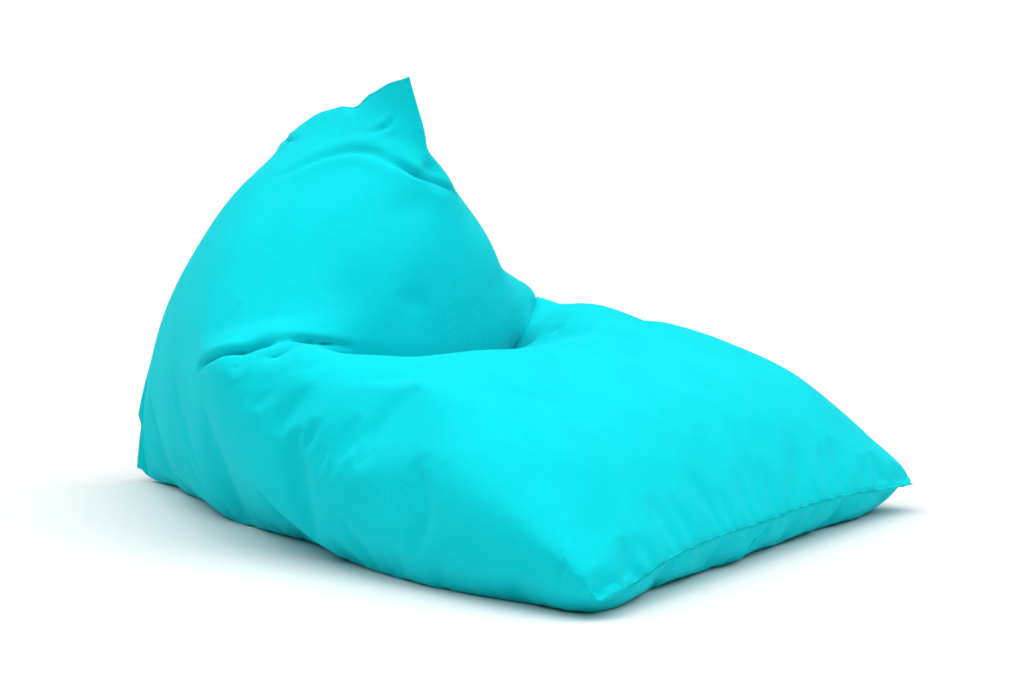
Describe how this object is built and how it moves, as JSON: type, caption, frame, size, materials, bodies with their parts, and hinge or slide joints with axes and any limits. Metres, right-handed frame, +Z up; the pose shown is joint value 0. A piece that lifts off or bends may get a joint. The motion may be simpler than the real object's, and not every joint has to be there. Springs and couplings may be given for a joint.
{
  "type": "bean bag chair",
  "caption": "Bean bag lounger: a sewn four-cornered fabric bag with a seat, a raised backrest and a pointed ear, over a zipped liner full of beads.",
  "frame": {"origin": "on the floor, under the middle of the bag's length and width", "axes": "+Z up, -Y towards the front seam where the legs go, +Y towards the back corner, X across the bag, the bag symmetric about X = 0"},
  "size_m": [1.0481, 1.3401, 0.7801],
  "materials": {
    "cover_fabric": "matte plain-weave polyester",
    "liner_fabric": "matte nonwoven",
    "beads": "expanded polystyrene beads",
    "cover_zip_tape": "matte woven tape",
    "cover_zip_coil": "satin nylon",
    "liner_zip_tape": "matte woven tape",
    "liner_zip_coil": "satin nylon",
    "zip_metal": "plated zinc, satin"
  },
  "bodies": {
    "bag": {"cover": "cover_fabric", "liner": "liner_fabric", "bead_fill": "beads", "zip_tape_left": "cover_zip_tape", "zip_tape_right": "cover_zip_tape", "zip_coil_left": "cover_zip_coil", "zip_coil_right": "cover_zip_coil", "zip_stop_bottom": "zip_metal", "zip_stop_top": "zip_metal", "liner_zip_tape_left": "liner_zip_tape", "liner_zip_tape_right": "liner_zip_tape", "liner_zip_coil_left": "liner_zip_coil", "liner_zip_coil_right": "liner_zip_coil", "liner_zip_stop_bottom": "zip_metal", "liner_zip_stop_top": "zip_metal"},
    "slider": {"zip_slider": "zip_metal"},
    "pull_tab": {"zip_pull_tab": "zip_metal"},
    "liner_slider": {"liner_zip_slider": "zip_metal"}
  },
  "joints": [
    {"name": "zip_slide", "type": "hinge", "parent": "bag", "child": "slider", "pos_m": [0, -0.07333, -0.04232], "axis": [-1, 0, 0], "range_deg": [0, 25.1]},
    {"name": "pull_tab_flip", "type": "hinge", "parent": "slider", "child": "pull_tab", "pos_m": [0, 0.50367, 0.42982], "axis": [1, 0, 0], "range_deg": [0, 170]},
    {"name": "liner_zip_slide", "type": "hinge", "parent": "bag", "child": "liner_slider", "pos_m": [0, -0.07333, -0.04232], "axis": [-1, 0, 0], "range_deg": [0, 25.1]}
  ]
}
